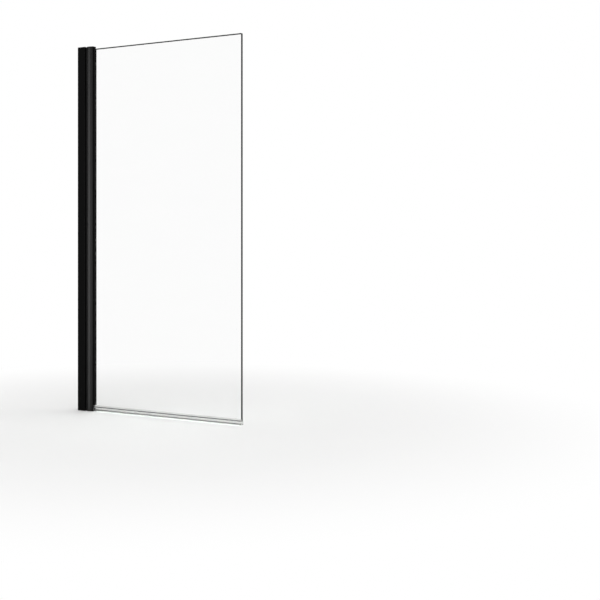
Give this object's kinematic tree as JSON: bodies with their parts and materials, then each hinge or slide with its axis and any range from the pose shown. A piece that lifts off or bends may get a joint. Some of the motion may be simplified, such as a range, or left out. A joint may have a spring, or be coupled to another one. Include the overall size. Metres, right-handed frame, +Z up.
{
  "type": "bath screen",
  "caption": "Fixed bath screen: frameless clear glass pane in a black wall channel and telescoping glazing post, with a clear seal along its lower edge.",
  "frame": {"origin": "where the wall plane, the rim of the bath and the middle plane of the glass meet", "axes": "+X away from the wall along the glass, +Y from the room to the bath side, +Z up"},
  "size_m": [0.74, 0.0348, 1.4],
  "materials": {
    "black_profile": "satin black powder coat",
    "black_cap": "satin black moulding",
    "steel_screw": "plain stainless",
    "clear_glass": "polished clear",
    "gasket": "matte black",
    "block": "moulded",
    "clear_seal": "clear soft extrusion"
  },
  "bodies": {
    "wall_frame": {"wall_channel": "black_profile", "channel_top_cap": "black_cap", "channel_foot_cap": "black_cap", "channel_cap_screws": "steel_screw", "locking_screws": "steel_screw", "locking_screw_cap_upper": "black_cap", "locking_screw_cap_middle": "black_cap", "locking_screw_cap_lower": "black_cap"},
    "screen": {"glazing_post": "black_profile", "post_top_cap": "black_cap", "post_foot_cap": "black_cap", "post_cap_screws": "steel_screw", "glass_support_pad": "gasket", "glass_pane": "clear_glass", "front_gasket": "gasket", "rear_gasket": "gasket", "edge_block_upper": "block", "edge_block_middle": "block", "edge_block_lower": "block", "bottom_seal": "clear_seal"}
  },
  "joints": [
    {"name": "width_adjustment", "type": "slide", "parent": "wall_frame", "child": "screen", "axis": [1, 0, 0], "range_m": [-0.0075, 0.0075]}
  ]
}
